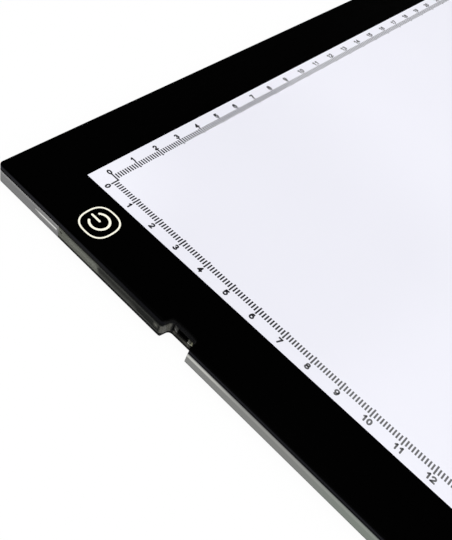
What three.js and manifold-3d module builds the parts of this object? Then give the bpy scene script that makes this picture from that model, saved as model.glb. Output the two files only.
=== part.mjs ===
// LED tracing pad: a lit opal panel in a black border, 8 mm thick, on a bent aluminium
// side frame with a dark port housing let into one short side.
// Millimetres, +Z up. X runs along the long side, and the origin is the middle of the
// footprint on the table.

import * as THREE from 'three';
import { mergeVertices } from 'three/addons/utils/BufferGeometryUtils.js';
import Module from 'manifold-3d';

// Window and border
const windowLength = 310;
const windowWidth = 210;
const bezelBorder = 18.8;
const cornerRadius = 1.5;

// Layers, from the table up
const footHeight = 0.7;
const railHeight = 5;
const bondThickness = 0.3;
const frontThickness = 2;
const coverThickness = 0.6;
const reflectorThickness = 0.2;
const diffuserThickness = 0.3;

// Plug recess in the left side
const notchFromRear = 71.95;
const notchLength = 9.4;
const notchDepth = 3.6;
const notchFlare = 0.6;
const notchRearLip = 0.9;
const notchFrontLip = 0.15;
const notchInnerRadius = 1.4;

// Front bezel
const bezelEdgeRadius = 0.6;
const bezelLipThickness = 1;
const rimClearance = 0.3;

// Side frame
const railWall = 1.4;
const railEdgeBreak = 0.35;
const slitLength = 10;
const slitHeight = 0.9;
const slitFromHousing = 0.8;
const slitAboveBase = 2.4;

// Port housing
const housingReach = 43.45;
const housingWall = 1;
const housingFloor = 0.4;
const housingTail = 3;
const pinholeRadius = 0.45;
const pinholeDepth = 0.5;
const pinholeFromEnd = 1.1;
const leadGateWidth = 2.2;

// Light guide and its frame
const guideMargin = 2;
const guideClearance = 0.3;
const chassisClearance = 0.35;
const chassisWallWidth = 3.2;
const rimSeat = 1.7;
const stackClearance = 0.1;
const pocketRib = 1.6;
const pocketRoof = 1.2;
const pocketsPerLongBar = 12;
const pocketsPerEndBar = 8;
const channelWidth = 2.2;
const leadLift = 0.1;

// Light strips
const stripThickness = 0.8;
const stripEdgeClearance = 0.2;
const stripEndMargin = 6;
const ledLength = 3.5;
const ledHeight = 2.8;
const ledDepth = 1;
const ledPitch = 8.5;
const ledGap = 0.2;

// Driver board and what is on it
const boardThickness = 1;
const boardClearance = 0.3;
const socketWidth = 7.5;
const socketDepth = 5.6;
const socketHeight = 2.5;
const socketWall = 0.3;
const socketSlope = 0.9;
const socketSetBack = 0.15;
const socketHoleClearance = 0.2;
const tongueWidth = 3.7;
const tongueThickness = 0.65;
const tongueShortfall = 0.9;
const tongueBlockDepth = 1.8;
const chipLength = 4.9;
const chipWidth = 3.9;
const chipHeight = 1.5;
const chipStandOff = 0.15;
const chipLegWidth = 0.42;
const chipLegReach = 1;
const chipLegThickness = 0.25;
const chipLegPitch = 1.27;
const chipLegsPerSide = 4;
const transistorLength = 2.9;
const transistorWidth = 1.6;
const transistorHeight = 1.1;
const capacitorLength = 3.2;
const capacitorWidth = 1.6;
const capacitorHeight = 1.6;
const capacitorCap = 0.5;
const capacitorCapProud = 0.05;
const plugLength = 6;
const plugWidth = 3.4;
const plugHeight = 2.4;
const plugCavity = 0.7;
const chipFromIcon = 9.5;
const capacitorFromPlug = 1.8;
const transistorFromSocket = 3.2;
const frontPlugFromSocket = 13;
const rearPlugFromIcon = 20.5;

// Touch key
const iconFromWindow = 9.7;
const iconFromHousingEnd = 6.85;
const electrodeRadius = 4;
const electrodeThickness = 0.2;
const electrodeTapeClearance = 0.8;
const springRadius = 1.5;
const springWireRadius = 0.2;
const springTurns = 3;
const springStepsPerTurn = 14;
const springWireSides = 6;
const springClearance = 0.05;

// Leads
const leadWidth = 1.6;
const leadThickness = 1;
const leadBendRadius = 2;
const leadLaneFromWall = 1.65;

// Feet
const footRadius = 6;
const footInset = 17;
const footEdge = 0.15;

// How finely round shapes are divided
const bezelEdgeSteps = 3;
const railEdgeSteps = 1;
const arcSteps = 6;
const discSteps = 32;

// Anything cut right through is cut with this overrun
const overrun = 1;

// Sizes worked out from the ones above
const bodyLength = windowLength + 2 * bezelBorder;
const bodyWidth = windowWidth + 2 * bezelBorder;
const left = -bodyLength / 2;
const right = bodyLength / 2;
const front = -bodyWidth / 2;
const rear = bodyWidth / 2;

const baseZ = footHeight;
const coverTop = baseZ + coverThickness;
const railTop = baseZ + railHeight;
const bondTop = railTop + bondThickness;
const frontTop = bondTop + frontThickness;

const notchTopY = rear - notchFromRear;
const notchLowY = notchTopY - notchLength;
const notchMidY = (notchTopY + notchLowY) / 2;
const notchBackX = left + notchDepth;
const housingEndY = notchTopY + housingReach;
const housingLowY = notchLowY - housingTail;

const guideHalfX = windowLength / 2 + guideMargin;
const guideHalfY = windowWidth / 2 + guideMargin;
const chassisInnerX = guideHalfX + guideClearance;
const chassisInnerY = guideHalfY + ledGap + ledDepth + stripThickness;
const railInnerX = bodyLength / 2 - railWall;
const railInnerY = bodyWidth / 2 - railWall;
const chassisOuterX = railInnerX - chassisClearance;
const chassisOuterY = railInnerY - chassisClearance;
const bayInnerX = -(chassisInnerX + chassisWallWidth);
const rimHalfX = chassisInnerX + rimSeat;
const rimHalfY = chassisInnerY + rimSeat;

const reflectorTop = coverTop + reflectorThickness;
const diffuserTop = railTop - stackClearance;
const guideTop = diffuserTop - diffuserThickness;

const trayFloorTop = coverTop + housingFloor;
const boardTop = trayFloorTop + boardThickness;
const boardLeft = notchBackX + housingWall + boardClearance;
const boardRight = bayInnerX - 2 * boardClearance;
const boardMidX = (boardLeft + boardRight) / 2;
const boardLow = housingLowY + housingWall + boardClearance;
const boardHigh = housingEndY - housingWall - boardClearance;

const iconX = -windowLength / 2 - iconFromWindow;
const iconY = housingEndY - iconFromHousingEnd;
const channelFloor = boardTop + leadLift;
const rearLaneX = left + railWall + leadLaneFromWall;
const rearPlugX = boardLeft + plugWidth / 2;
const rearPlugY = iconY - rearPlugFromIcon;
const frontPlugX = boardRight - plugWidth / 2;
const frontPlugY = notchMidY + frontPlugFromSocket;
const capacitorX = boardRight - capacitorWidth;
const transistorX = boardLeft + transistorWidth;
const stripLaneY = guideHalfY + ledGap + (ledDepth + stripThickness) / 2;
const stripHalfX = guideHalfX - stripEndMargin;

const wasm = await Module();
wasm.setup();

// Solids

function toSolid(geometry) {
  const bare = geometry.index ? geometry.clone() : geometry;
  bare.deleteAttribute('normal');
  bare.deleteAttribute('uv');
  const merged = mergeVertices(bare);
  return new wasm.Manifold(new wasm.Mesh({
    numProp: 3,
    vertProperties: new Float32Array(merged.attributes.position.array),
    triVerts: new Uint32Array(merged.index.array),
  }));
}

function toGeometry(solid) {
  const mesh = solid.getMesh();
  const geometry = new THREE.BufferGeometry();
  geometry.setAttribute('position', new THREE.BufferAttribute(mesh.vertProperties, 3));
  geometry.setIndex(new THREE.BufferAttribute(mesh.triVerts, 1));
  geometry.computeVertexNormals();
  return geometry;
}

const union = (...solids) => solids.reduce((sum, next) => sum.add(next));
const cutAll = (solid, ...cutters) => cutters.reduce((rest, next) => rest.subtract(next), solid);

// A flat slab of a plan shape between two heights
function slab(shape, low, high) {
  const geometry = new THREE.ExtrudeGeometry(shape, {
    depth: high - low, bevelEnabled: false, curveSegments: arcSteps,
  });
  geometry.translate(0, 0, low);
  return toSolid(geometry);
}

// The same slab with its top edge, and if asked its bottom edge, rounded over
function roundedSlab(shape, low, high, radius, steps, bottomToo) {
  const geometry = new THREE.ExtrudeGeometry(shape, {
    depth: high - low - 2 * radius,
    bevelEnabled: true,
    bevelThickness: radius,
    bevelSize: radius,
    bevelOffset: -radius,
    bevelSegments: steps,
    curveSegments: arcSteps,
  });
  geometry.translate(0, 0, low + radius);
  const rounded = toSolid(geometry);
  return bottomToo ? rounded : rounded.add(slab(shape, low, (low + high) / 2));
}

function block(x0, x1, y0, y1, z0, z1) {
  const geometry = new THREE.BoxGeometry(x1 - x0, y1 - y0, z1 - z0);
  geometry.translate((x0 + x1) / 2, (y0 + y1) / 2, (z0 + z1) / 2);
  return toSolid(geometry);
}

const centredBlock = (halfX, halfY, z0, z1) => block(-halfX, halfX, -halfY, halfY, z0, z1);

// An upright disc with a small bevel round both ends
function disc(x, y, radius, z0, z1, edge) {
  const profile = [
    new THREE.Vector2(0, z0), new THREE.Vector2(radius - edge, z0),
    new THREE.Vector2(radius, z0 + edge), new THREE.Vector2(radius, z1 - edge),
    new THREE.Vector2(radius - edge, z1), new THREE.Vector2(0, z1),
  ];
  const geometry = new THREE.LatheGeometry(profile, discSteps);
  geometry.rotateX(Math.PI / 2);
  geometry.translate(x, y, 0);
  return toSolid(geometry);
}

// Plan outlines

function roundedRectangle(x0, x1, y0, y1, radius) {
  const shape = new THREE.Shape();
  shape.moveTo(x0 + radius, y0);
  shape.lineTo(x1 - radius, y0);
  shape.absarc(x1 - radius, y0 + radius, radius, -Math.PI / 2, 0, false);
  shape.lineTo(x1, y1 - radius);
  shape.absarc(x1 - radius, y1 - radius, radius, 0, Math.PI / 2, false);
  shape.lineTo(x0 + radius, y1);
  shape.absarc(x0 + radius, y1 - radius, radius, Math.PI / 2, Math.PI, false);
  shape.lineTo(x0, y0 + radius);
  shape.absarc(x0 + radius, y0 + radius, radius, Math.PI, 1.5 * Math.PI, false);
  return shape;
}

const bodyOutline = roundedRectangle(left, right, front, rear, cornerRadius);

// What the plug recess takes away: its front end is square, its rear end flares out to
// the side face, and its corners are rounded
function notchShape() {
  const inner = notchInnerRadius;
  const mouth = new THREE.Vector2(left, notchTopY + notchFlare);
  const back = new THREE.Vector2(notchBackX, notchTopY);
  const wall = new THREE.Vector2().subVectors(back, mouth).normalize();
  const wallEnd = mouth.clone().addScaledVector(wall, notchRearLip);
  const wallStart = back.clone().addScaledVector(wall, -inner);
  const shape = new THREE.Shape();
  shape.moveTo(left - overrun, mouth.y + notchRearLip);
  shape.lineTo(left - overrun, notchLowY - notchFrontLip);
  shape.lineTo(left, notchLowY - notchFrontLip);
  shape.quadraticCurveTo(left, notchLowY, left + notchFrontLip, notchLowY);
  shape.lineTo(notchBackX - inner, notchLowY);
  shape.absarc(notchBackX - inner, notchLowY + inner, inner, -Math.PI / 2, 0, false);
  shape.lineTo(notchBackX, notchTopY - inner);
  shape.quadraticCurveTo(back.x, back.y, wallStart.x, wallStart.y);
  shape.lineTo(wallEnd.x, wallEnd.y);
  shape.quadraticCurveTo(mouth.x, mouth.y, left, mouth.y + notchRearLip);
  return shape;
}

const notchCutter = slab(notchShape(), baseZ - overrun, frontTop + overrun);

// A flat lead of constant width along a route of straight runs with round bends
function ribbonShape(route, width, bendRadius) {
  const sides = [1, -1].map((side) => {
    const points = [];
    route.forEach((point, index) => {
      const before = route[index - 1];
      const after = route[index + 1];
      const into = before ? new THREE.Vector2().subVectors(point, before).normalize() : null;
      const out = after ? new THREE.Vector2().subVectors(after, point).normalize() : null;
      if (!into || !out) {
        const along = into ?? out;
        const across = new THREE.Vector2(-along.y, along.x);
        points.push(point.clone().addScaledVector(across, side * width / 2));
        return;
      }
      const turn = Math.sign(into.x * out.y - into.y * out.x);
      const centre = point.clone()
        .addScaledVector(into, -bendRadius)
        .addScaledVector(new THREE.Vector2(-into.y, into.x), turn * bendRadius);
      const radius = bendRadius - turn * side * width / 2;
      const start = Math.atan2(-turn * into.x, turn * into.y);
      for (let step = 0; step <= arcSteps; step += 1) {
        const angle = start + turn * (Math.PI / 2) * (step / arcSteps);
        points.push(new THREE.Vector2(
          centre.x + radius * Math.cos(angle), centre.y + radius * Math.sin(angle),
        ));
      }
    });
    return points;
  });
  return new THREE.Shape([...sides[0], ...sides[1].reverse()]);
}

// Front: the black bezel with its window, and the opal panel flush in it

function makeFrontBezel() {
  const plate = roundedSlab(bodyOutline, bondTop, frontTop, bezelEdgeRadius, bezelEdgeSteps, false);
  const windowHole = centredBlock(
    windowLength / 2, windowWidth / 2, bondTop - overrun, frontTop + overrun,
  );
  const rabbet = centredBlock(
    rimHalfX + rimClearance, rimHalfY + rimClearance,
    bondTop - overrun, frontTop - bezelLipThickness,
  );
  return cutAll(plate, windowHole, rabbet, notchCutter);
}

function makeTracingPanel() {
  const face = centredBlock(windowLength / 2, windowWidth / 2, bondTop, frontTop);
  const rim = centredBlock(rimHalfX, rimHalfY, bondTop, frontTop - bezelLipThickness);
  return face.add(rim);
}

function makeBondTape() {
  const sheet = slab(bodyOutline, railTop, bondTop);
  const middle = centredBlock(
    chassisInnerX, chassisInnerY, railTop - overrun, bondTop + overrun,
  );
  const keyHole = disc(
    iconX, iconY, electrodeRadius + electrodeTapeClearance,
    railTop - overrun, bondTop + overrun, 0,
  );
  return cutAll(sheet, middle, keyHole, notchCutter);
}

// The sides' common section, with its edges broken: the side frame has it all round, and
// the housing and the cover's tab carry it on where the frame is open
const sideBlank = roundedSlab(bodyOutline, baseZ, railTop, railEdgeBreak, railEdgeSteps, true);

// Side frame: one strip bent round the body, open where the port housing sits

function makeSideFrame() {
  const inside = centredBlock(railInnerX, railInnerY, baseZ - overrun, railTop + overrun);
  const gap = block(
    left - overrun, left + railWall + overrun, notchLowY, housingEndY,
    baseZ - overrun, railTop + overrun,
  );
  const slitLowY = housingEndY + slitFromHousing;
  const slit = block(
    left - overrun, left + railWall + overrun, slitLowY, slitLowY + slitLength,
    baseZ + slitAboveBase, baseZ + slitAboveBase + slitHeight,
  );
  return cutAll(sideBlank, inside, gap, slit);
}

// Port housing: a dark moulded tray whose outer wall fills the gap in the side frame
// and turns in round the plug recess

function makePortHousing() {
  const trayRight = bayInnerX - boardClearance;
  const body = sideBlank.intersect(block(
    left - overrun, trayRight, housingLowY, housingEndY, coverTop, railTop + overrun,
  ));
  const railRoom = block(
    left - overrun, left + railWall, housingLowY - overrun, notchLowY,
    coverTop - overrun, railTop + overrun,
  );
  const recessWalls = block(
    left, notchBackX + housingWall,
    notchLowY - housingWall, notchTopY + notchFlare + housingWall,
    coverTop - overrun, railTop + overrun,
  );
  const hollow = block(
    left + railWall, trayRight + overrun, housingLowY + housingWall,
    housingEndY - housingWall, trayFloorTop, railTop + overrun,
  ).subtract(recessWalls);
  const socketHole = block(
    notchBackX - overrun, notchBackX + housingWall + overrun,
    notchMidY - socketWidth / 2 - socketHoleClearance,
    notchMidY + socketWidth / 2 + socketHoleClearance,
    boardTop - socketHoleClearance, boardTop + socketHeight + socketHoleClearance,
  );
  const pinhole = toSolid(new THREE.CylinderGeometry(
    pinholeRadius, pinholeRadius, 2 * pinholeDepth, 2 * arcSteps,
  ).rotateZ(Math.PI / 2).translate(
    left, housingEndY - pinholeFromEnd, baseZ + slitAboveBase + slitHeight,
  ));
  const rearLeadGate = block(
    rearLaneX - leadGateWidth / 2, rearLaneX + leadGateWidth / 2,
    housingEndY - housingWall - overrun, housingEndY + overrun,
    channelFloor, railTop + overrun,
  );
  const frontLeadGate = block(
    frontPlugX - leadGateWidth / 2, frontPlugX + leadGateWidth / 2,
    housingLowY - overrun, housingLowY + housingWall + overrun,
    channelFloor, railTop + overrun,
  );
  return cutAll(
    body, railRoom, hollow, notchCutter, socketHole, pinhole, rearLeadGate, frontLeadGate,
  );
}

// Back cover: a black sheet inside the side frame, which comes out to the side face
// under the port housing

function makeBackCover() {
  const inner = centredBlock(
    railInnerX - chassisClearance, railInnerY - chassisClearance, baseZ, coverTop,
  );
  const tab = sideBlank.intersect(block(
    left - overrun, left + railWall + overrun, notchLowY, housingEndY,
    baseZ - overrun, coverTop,
  ));
  return inner.add(tab).subtract(notchCutter);
}

// Inner chassis: white moulded frame with a light guide pocket, a bay for the port
// housing, lead channels and hollowed bars

function barPockets() {
  const pockets = [];
  const low = coverTop - overrun;
  const high = railTop - pocketRoof;
  const longStart = -chassisInnerX;
  const longPitch = (2 * chassisInnerX + pocketRib) / pocketsPerLongBar;
  for (let index = 0; index < pocketsPerLongBar; index += 1) {
    const x0 = longStart + index * longPitch;
    const x1 = x0 + longPitch - pocketRib;
    const y0 = chassisInnerY + pocketRib;
    const y1 = chassisOuterY - pocketRib;
    pockets.push(block(x0, x1, y0, y1, low, high));
    pockets.push(block(x0, x1, -y1, -y0, low, high));
  }
  const endPitch = (2 * chassisInnerY + pocketRib) / pocketsPerEndBar;
  for (let index = 0; index < pocketsPerEndBar; index += 1) {
    const y0 = -chassisInnerY + index * endPitch;
    pockets.push(block(
      chassisInnerX + pocketRib, chassisOuterX - pocketRib,
      y0, y0 + endPitch - pocketRib, low, high,
    ));
  }
  return pockets;
}

function leadChannels() {
  const half = channelWidth / 2;
  const high = railTop + overrun;
  return [
    block(rearLaneX - half, rearLaneX + half, housingEndY, stripLaneY + half,
      channelFloor, high),
    block(rearLaneX - half, -chassisInnerX + overrun, stripLaneY - half, stripLaneY + half,
      channelFloor, high),
    block(frontPlugX - half, frontPlugX + half, -stripLaneY - half, housingLowY,
      channelFloor, high),
    block(frontPlugX - half, -chassisInnerX + overrun, -stripLaneY - half, -stripLaneY + half,
      channelFloor, high),
  ];
}

function makeInnerChassis() {
  const plate = centredBlock(chassisOuterX, chassisOuterY, coverTop, railTop);
  const guidePocket = centredBlock(
    chassisInnerX, chassisInnerY, coverTop - overrun, railTop + overrun,
  );
  const bay = block(
    -chassisOuterX - overrun, bayInnerX, housingLowY - boardClearance,
    housingEndY + boardClearance, coverTop - overrun, railTop + overrun,
  );
  return cutAll(plate, guidePocket, bay, ...barPockets(), ...leadChannels());
}

// Light guide stack

const makeReflectorSheet = () => centredBlock(guideHalfX, guideHalfY, coverTop, reflectorTop);
const makeLightGuide = () => centredBlock(guideHalfX, guideHalfY, reflectorTop, guideTop);
const makeDiffuserSheet = () => centredBlock(guideHalfX, guideHalfY, guideTop, diffuserTop);

// Light strips: LEDs along the face of a narrow board, standing on edge beside the guide

function makeLedStrip(side) {
  const low = coverTop + stripEdgeClearance;
  const high = railTop - stripEdgeClearance;
  const span = (y0, y1) => (side > 0 ? [y0, y1] : [-y1, -y0]);
  const backY = chassisInnerY;
  const faceY = backY - stripThickness;
  const midZ = (low + high) / 2;
  const pieces = [block(-stripHalfX, stripHalfX, ...span(faceY, backY), low, high)];
  const count = Math.floor((2 * stripHalfX - ledLength) / ledPitch) + 1;
  const firstX = -((count - 1) * ledPitch) / 2;
  for (let index = 0; index < count; index += 1) {
    const x = firstX + index * ledPitch;
    pieces.push(block(
      x - ledLength / 2, x + ledLength / 2, ...span(faceY - ledDepth, faceY + stripThickness / 2),
      midZ - ledHeight / 2, midZ + ledHeight / 2,
    ));
  }
  return union(...pieces);
}

// Driver board and its parts

const makeDriverBoard = () => block(boardLeft, boardRight, boardLow, boardHigh,
  trayFloorTop, boardTop);

// The socket's section: flat on top, drawn in at the two lower corners
function socketOutline(inset) {
  const half = socketWidth / 2 - inset;
  const low = inset;
  const high = socketHeight - inset;
  const slope = socketSlope;
  const points = [
    [-half, high], [-half, low + slope], [-half + slope, low],
    [half - slope, low], [half, low + slope], [half, high],
  ];
  return points.map(([y, z]) => new THREE.Vector2(y, z));
}

// Turns a section drawn in the Y and Z directions so that it runs along +X
function alongX(shape, x0, x1, y, z) {
  const geometry = new THREE.ExtrudeGeometry(shape, { depth: x1 - x0, bevelEnabled: false });
  geometry.applyMatrix4(new THREE.Matrix4().makeBasis(
    new THREE.Vector3(0, 1, 0), new THREE.Vector3(0, 0, 1), new THREE.Vector3(1, 0, 0),
  ));
  geometry.translate(x0, y, z);
  return toSolid(geometry);
}

const socketFrontX = notchBackX + socketSetBack;
const socketRearX = socketFrontX + socketDepth;

function makeSocketShell() {
  const outline = new THREE.Shape(socketOutline(0));
  outline.holes.push(new THREE.Path(socketOutline(socketWall)));
  return alongX(outline, socketFrontX, socketRearX, notchMidY, boardTop);
}

function makeSocketTongue() {
  const plug = alongX(
    new THREE.Shape(socketOutline(socketWall)),
    socketRearX - tongueBlockDepth, socketRearX, notchMidY, boardTop,
  );
  const midZ = boardTop + socketHeight / 2;
  const tongue = block(
    socketFrontX + tongueShortfall, socketRearX - tongueBlockDepth / 2,
    notchMidY - tongueWidth / 2, notchMidY + tongueWidth / 2,
    midZ - tongueThickness / 2, midZ + tongueThickness / 2,
  );
  return plug.add(tongue);
}

function makeTouchChip() {
  const y = iconY - chipFromIcon;
  const low = boardTop + chipStandOff;
  const pieces = [block(
    boardMidX - chipWidth / 2, boardMidX + chipWidth / 2,
    y - chipLength / 2, y + chipLength / 2, low, boardTop + chipHeight,
  )];
  for (let leg = 0; leg < chipLegsPerSide; leg += 1) {
    const legY = y + (leg - (chipLegsPerSide - 1) / 2) * chipLegPitch;
    pieces.push(block(
      boardMidX - chipWidth / 2 - chipLegReach, boardMidX + chipWidth / 2 + chipLegReach,
      legY - chipLegWidth / 2, legY + chipLegWidth / 2, boardTop, boardTop + chipLegThickness,
    ));
  }
  return union(...pieces);
}

function makeDimmerTransistor() {
  const y = notchMidY + socketWidth / 2 + transistorFromSocket;
  const body = block(
    transistorX - transistorWidth / 2, transistorX + transistorWidth / 2,
    y - transistorLength / 2, y + transistorLength / 2,
    boardTop + chipStandOff, boardTop + transistorHeight,
  );
  const legs = block(
    transistorX - transistorWidth / 2 - chipLegReach / 2,
    transistorX + transistorWidth / 2 + chipLegReach / 2,
    y - chipLegWidth / 2, y + chipLegWidth / 2, boardTop, boardTop + chipLegThickness,
  );
  return body.add(legs);
}

function makeFilterCapacitor() {
  const halfX = capacitorWidth / 2;
  const halfY = capacitorLength / 2;
  const y = frontPlugY + plugLength / 2 + capacitorFromPlug + halfY;
  const top = boardTop + capacitorHeight;
  const caps = [-1, 1].map((end) => block(
    capacitorX - halfX - capacitorCapProud, capacitorX + halfX + capacitorCapProud,
    y + end * halfY - capacitorCap / 2, y + end * halfY + capacitorCap / 2,
    boardTop, top + capacitorCapProud,
  ));
  const body = block(capacitorX - halfX, capacitorX + halfX, y - halfY, y + halfY, boardTop, top);
  return union(body, ...caps);
}

// Plugs stand at the board's edge, with a cavity where the lead goes in
function makeLedPlug(x, y, exit) {
  const body = block(
    x - plugWidth / 2, x + plugWidth / 2, y - plugLength / 2, y + plugLength / 2,
    boardTop, boardTop + plugHeight,
  );
  const mouthY = y + exit * plugLength / 2;
  const mouth = block(
    x - leadWidth / 2, x + leadWidth / 2,
    mouthY - plugCavity, mouthY + plugCavity,
    channelFloor, channelFloor + leadThickness,
  );
  return body.subtract(mouth);
}

// Touch key: a copper pad under the bezel and a coil spring up from the board

const makeTouchElectrode = () => disc(
  iconX, iconY, electrodeRadius, bondTop - electrodeThickness, bondTop, 0,
);

class Helix extends THREE.Curve {
  constructor(x, y, low, high) {
    super();
    Object.assign(this, { x, y, low, high });
  }

  getPoint(share) {
    const angle = 2 * Math.PI * springTurns * share;
    return new THREE.Vector3(
      this.x + springRadius * Math.cos(angle),
      this.y + springRadius * Math.sin(angle),
      this.low + (this.high - this.low) * share,
    );
  }
}

function makeTouchSpring() {
  const wire = new THREE.Shape();
  wire.absarc(0, 0, springWireRadius, 0, 2 * Math.PI, false);
  const low = boardTop + springWireRadius + springClearance;
  const high = bondTop - electrodeThickness - springWireRadius - springClearance;
  return toSolid(new THREE.ExtrudeGeometry(wire, {
    extrudePath: new Helix(iconX, iconY, low, high),
    steps: springTurns * springStepsPerTurn,
    curveSegments: springWireSides,
    bevelEnabled: false,
  }));
}

// Leads from the plugs to the near ends of the light strips

const point = (x, y) => new THREE.Vector2(x, y);

function makeRearLead() {
  const startY = rearPlugY + plugLength / 2 - plugCavity;
  const jogY = startY + 2 * plugCavity + leadBendRadius;
  const route = [
    point(rearPlugX, startY), point(rearPlugX, jogY), point(rearLaneX, jogY),
    point(rearLaneX, stripLaneY), point(-stripHalfX, stripLaneY),
  ];
  return slab(ribbonShape(route, leadWidth, leadBendRadius),
    channelFloor, channelFloor + leadThickness);
}

function makeFrontLead() {
  const startY = frontPlugY - plugLength / 2 + plugCavity;
  const route = [
    point(frontPlugX, startY), point(frontPlugX, -stripLaneY),
    point(-stripHalfX, -stripLaneY),
  ];
  return slab(ribbonShape(route, leadWidth, leadBendRadius),
    channelFloor, channelFloor + leadThickness);
}

function makeFoot(signX, signY) {
  return disc(
    signX * (right - footInset), signY * (rear - footInset), footRadius, 0, footHeight, footEdge,
  );
}

// Assembly

const pad = new THREE.Group();

function add(name, solid, color, roughness, metalness) {
  const mesh = new THREE.Mesh(
    toGeometry(solid), new THREE.MeshStandardMaterial({ color, roughness, metalness }),
  );
  mesh.name = name;
  pad.add(mesh);
}

add('front_bezel', makeFrontBezel(), 0x050506, 0.12, 0);
add('tracing_panel', makeTracingPanel(), 0xf0f0fa, 0.35, 0);
add('bond_tape', makeBondTape(), 0x0a0a0a, 0.8, 0);
add('side_frame', makeSideFrame(), 0x8a8c88, 0.45, 0.8);
add('port_housing', makePortHousing(), 0x2c2f2b, 0.25, 0);
add('back_cover', makeBackCover(), 0x111111, 0.5, 0);
add('inner_chassis', makeInnerChassis(), 0xe8e8e6, 0.6, 0);
add('reflector_sheet', makeReflectorSheet(), 0xf6f6f6, 0.5, 0);
add('light_guide', makeLightGuide(), 0xdfe8ee, 0.05, 0);
add('diffuser_sheet', makeDiffuserSheet(), 0xf2f2f2, 0.8, 0);
add('rear_led_strip', makeLedStrip(1), 0xece9d8, 0.5, 0);
add('front_led_strip', makeLedStrip(-1), 0xece9d8, 0.5, 0);
add('driver_board', makeDriverBoard(), 0x1d5a32, 0.4, 0);
add('usb_socket_shell', makeSocketShell(), 0xb8babb, 0.3, 1);
add('usb_socket_tongue', makeSocketTongue(), 0x101010, 0.5, 0);
add('touch_chip', makeTouchChip(), 0x18181a, 0.5, 0);
add('dimmer_transistor', makeDimmerTransistor(), 0x18181a, 0.5, 0);
add('filter_capacitor', makeFilterCapacitor(), 0xa68a5f, 0.5, 0);
add('rear_led_plug', makeLedPlug(rearPlugX, rearPlugY, 1), 0xeeeae0, 0.6, 0);
add('front_led_plug', makeLedPlug(frontPlugX, frontPlugY, -1), 0xeeeae0, 0.6, 0);
add('touch_electrode', makeTouchElectrode(), 0xb87333, 0.35, 1);
add('touch_spring', makeTouchSpring(), 0xc9b36a, 0.3, 1);
add('rear_led_lead', makeRearLead(), 0xb01818, 0.6, 0);
add('front_led_lead', makeFrontLead(), 0xb01818, 0.6, 0);
add('rubber_foot_1', makeFoot(-1, -1), 0x151515, 0.9, 0);
add('rubber_foot_2', makeFoot(1, -1), 0x151515, 0.9, 0);
add('rubber_foot_3', makeFoot(1, 1), 0x151515, 0.9, 0);
add('rubber_foot_4', makeFoot(-1, 1), 0x151515, 0.9, 0);

export default pad;
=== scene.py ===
# %% [markdown]
# # A tracing pad, dressed for its picture
# The pad is a lit opal panel in a gloss black border, 8 mm thick in all, with a grey
# aluminium strip bent round its sides. The solids come from the CAD model at their real
# size. This script gives each of them a finish, prints the rulers and the key's sign as
# thin layers of ink, and lights the whole plainly.

# %% Load the solids
import math

import bmesh
import bpy
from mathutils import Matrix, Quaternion, Vector


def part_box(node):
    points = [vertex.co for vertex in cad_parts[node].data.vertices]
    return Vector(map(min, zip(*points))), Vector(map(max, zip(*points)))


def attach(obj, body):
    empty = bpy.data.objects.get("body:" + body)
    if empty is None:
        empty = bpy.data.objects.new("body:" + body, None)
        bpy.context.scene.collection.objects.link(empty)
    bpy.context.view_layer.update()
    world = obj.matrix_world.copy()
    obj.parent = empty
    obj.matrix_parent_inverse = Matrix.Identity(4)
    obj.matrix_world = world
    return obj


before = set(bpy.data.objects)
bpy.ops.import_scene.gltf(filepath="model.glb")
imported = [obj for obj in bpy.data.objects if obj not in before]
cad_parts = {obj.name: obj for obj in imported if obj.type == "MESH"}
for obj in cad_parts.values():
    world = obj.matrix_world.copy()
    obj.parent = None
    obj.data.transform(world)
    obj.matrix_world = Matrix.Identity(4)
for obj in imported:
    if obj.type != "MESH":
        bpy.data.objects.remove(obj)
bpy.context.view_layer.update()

mm = 0.001
print("solids:", len(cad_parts))

# %% [markdown]
# ## Camera
# The picture was taken from close by and above the left side, with the camera tilted, and
# only the rear left part of the pad is in it. A camera can be placed by eye, or worked out
# from things of known size. Here the centimetre marks of the rulers gave the place, the
# three angles and the lens, because they are the best measure in the picture. The picture
# is cut from a larger one, so the lens axis isn't in its middle: the shift puts it back.

# %% The camera
photo_width, photo_height = 452, 540
sensor_size = 36.0
focal_pixels = 685.8
axis_pixel = (175.7, 266.6)
camera_place = Vector((-264.8, 0.9, 156.5)) * mm
camera_azimuth, camera_elevation, camera_roll = map(math.radians, (-59.62, 50.14, 18.48))


def looking_down(azimuth, elevation, roll):
    """The turn of a camera that looks from that side, rolled about its own axis."""
    level = math.cos(elevation)
    back = Vector((math.sin(azimuth) * level, -math.cos(azimuth) * level, math.sin(elevation)))
    return (-back).to_track_quat("-Z", "Y") @ Quaternion((0, 0, 1), roll)


camera_data = bpy.data.cameras.new("camera")
camera_data.sensor_width = sensor_size
camera_data.lens = focal_pixels / photo_height * sensor_size
camera_data.shift_x = (photo_width / 2 - axis_pixel[0]) / photo_height
camera_data.shift_y = (axis_pixel[1] - photo_height / 2) / photo_height
camera_data.clip_start = 5 * mm
camera = bpy.data.objects.new("camera", camera_data)
camera.location = camera_place
camera.rotation_mode = "QUATERNION"
camera.rotation_quaternion = looking_down(camera_azimuth, camera_elevation, camera_roll)
scene = bpy.context.scene
scene.collection.objects.link(camera)
scene.camera = camera
scene.view_settings.view_transform = "Standard"
print(f"lens {camera_data.lens:.1f} mm, shift {camera_data.shift_x:.3f}, {camera_data.shift_y:.3f}")

# %% [markdown]
# ## Writing shaders as sums
# A finish is a small drawing of nodes, and drawings are hard to read in code. A class that
# wraps a node's output lets sums be written as Python writes them: `1 - mask` adds a Math
# node. Colours don't go through Math nodes, which would turn them grey, but through Mix.

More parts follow.
